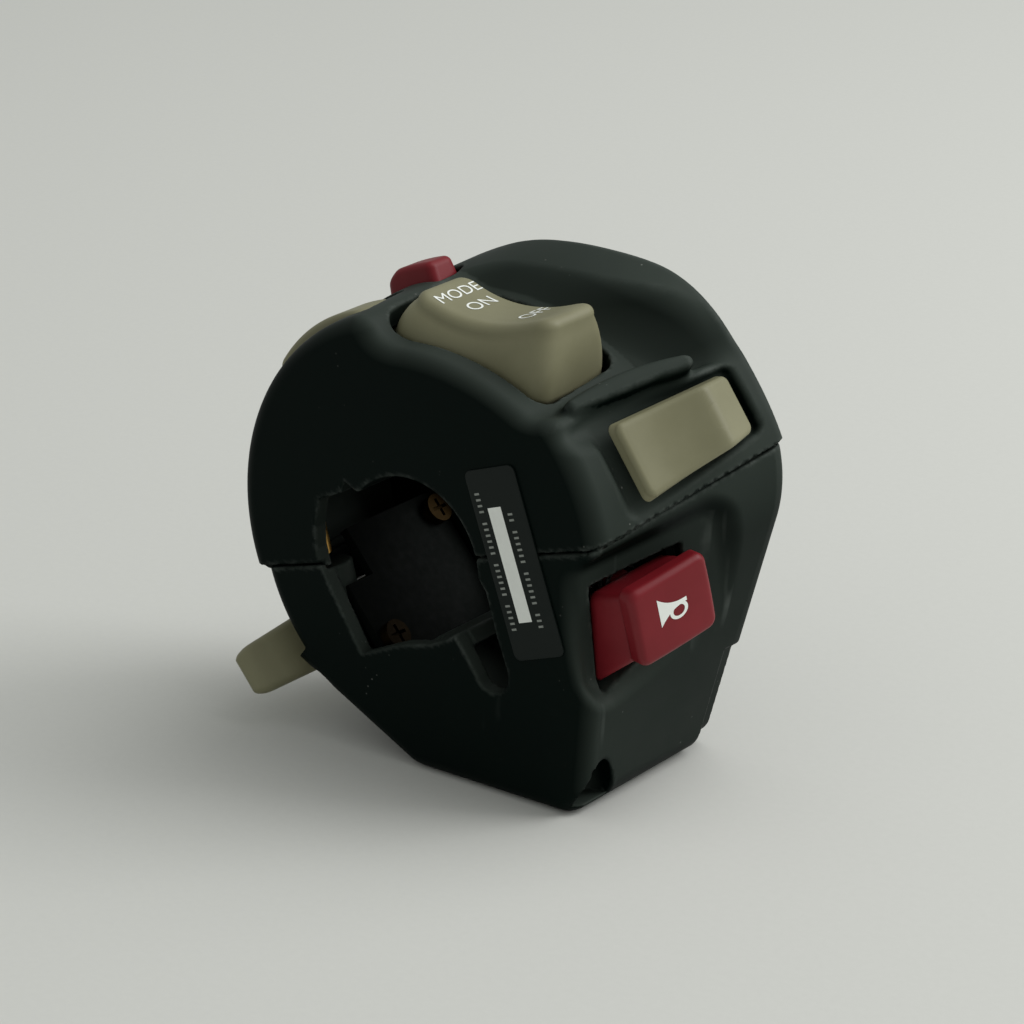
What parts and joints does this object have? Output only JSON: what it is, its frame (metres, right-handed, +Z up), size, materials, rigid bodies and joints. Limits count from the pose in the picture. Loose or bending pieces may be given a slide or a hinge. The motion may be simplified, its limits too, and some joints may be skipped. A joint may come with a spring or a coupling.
{
  "type": "handlebar switch cluster",
  "caption": "Split casing clamped on the left end of a handlebar, with mode and info rockers, sliding turn signal key, horn and hazard buttons and a flasher trigger.",
  "frame": {"origin": "on the axis of the handlebar bore, in the flat end face beside the grip", "axes": "+Y along the bar, from the grip towards the middle of the handlebar; +X towards the rider; +Z up as the cluster stands on its bottom facet"},
  "size_m": [0.0675, 0.0381, 0.0661],
  "materials": {
    "black_plastic": "fine spark-eroded moulding texture",
    "beige_plastic": "satin moulded caps with worn edges",
    "red_plastic": "satin moulded caps",
    "inner_plastic": "plain moulded",
    "switch_body": "small switch housings",
    "steel": "ground pins and spring wire",
    "zinc": "zinc plated",
    "brass": "plain turned brass",
    "board": "dark solder mask",
    "label_film": "printed film",
    "rubber": "moulded grommet"
  },
  "bodies": {
    "casing": {"upper_shell": "black_plastic", "lower_shell": "black_plastic", "casing_screws": "zinc", "screw_inserts": "brass", "label": "label_film", "rocker_pin": "steel", "rocker_bracket": "inner_plastic", "rocker_switches": "switch_body", "turn_track": "inner_plastic", "turn_switches": "switch_body", "horn_guide_plate": "inner_plastic", "horn_spring": "steel", "horn_switch": "switch_body", "trigger_pin": "steel", "trigger_spring": "steel", "trigger_switch": "switch_body", "info_pin": "steel", "info_bracket": "inner_plastic", "info_switches": "switch_body", "hazard_guide_plate": "inner_plastic", "hazard_spring": "steel", "hazard_switch": "switch_body", "circuit_board": "board", "board_screws": "brass", "cable_gland": "rubber"},
    "mode_rocker": {"mode_rocker": "beige_plastic"},
    "turn_carriage": {"turn_carriage": "inner_plastic", "turn_spring": "steel"},
    "turn_key": {"turn_key": "beige_plastic"},
    "horn_button": {"horn_button": "red_plastic"},
    "flasher_trigger": {"flasher_trigger": "beige_plastic"},
    "info_rocker": {"info_rocker": "beige_plastic"},
    "hazard_button": {"hazard_button": "red_plastic"}
  },
  "joints": [
    {"name": "mode_rocker_tilt", "type": "hinge", "parent": "casing", "child": "mode_rocker", "pos_m": [0.00447, 0.01, 0.02103], "axis": [0, 1, 0], "range_deg": [-4, 4], "stiffness_Nm_per_rad": 0.2},
    {"name": "turn_slide", "type": "slide", "parent": "casing", "child": "turn_carriage", "axis": [0.2693, 0.9306, 0.2481], "range_m": [-0.0014, 0.0014], "stiffness_N_per_m": 300},
    {"name": "turn_push", "type": "slide", "parent": "turn_carriage", "child": "turn_key", "axis": [-0.8085, 0.3584, -0.4668], "range_m": [0, 0.0015], "stiffness_N_per_m": 800, "springref_m": -0.001, "deforming": ["turn_spring"]},
    {"name": "horn_press", "type": "slide", "parent": "casing", "child": "horn_button", "axis": [-0.9659, 0.2588, 0], "range_m": [0, 0.0022], "stiffness_N_per_m": 800, "springref_m": -0.001, "deforming": ["horn_spring"]},
    {"name": "flasher_pull", "type": "hinge", "parent": "casing", "child": "flasher_trigger", "pos_m": [-0.01667, 0.0186, -0.01436], "axis": [0.6388, 0, -0.7694], "range_deg": [-4, 4], "stiffness_Nm_per_rad": 0.2},
    {"name": "info_rocker_tilt", "type": "hinge", "parent": "casing", "child": "info_rocker", "pos_m": [-0.01481, 0.0085, 0.01965], "axis": [0, 1, 0], "range_deg": [-4, 4], "stiffness_Nm_per_rad": 0.2},
    {"name": "hazard_press", "type": "slide", "parent": "casing", "child": "hazard_button", "axis": [0.3665, 0, -0.9304], "range_m": [0, 0.0016], "stiffness_N_per_m": 600, "springref_m": -0.001, "deforming": ["hazard_spring"]}
  ]
}
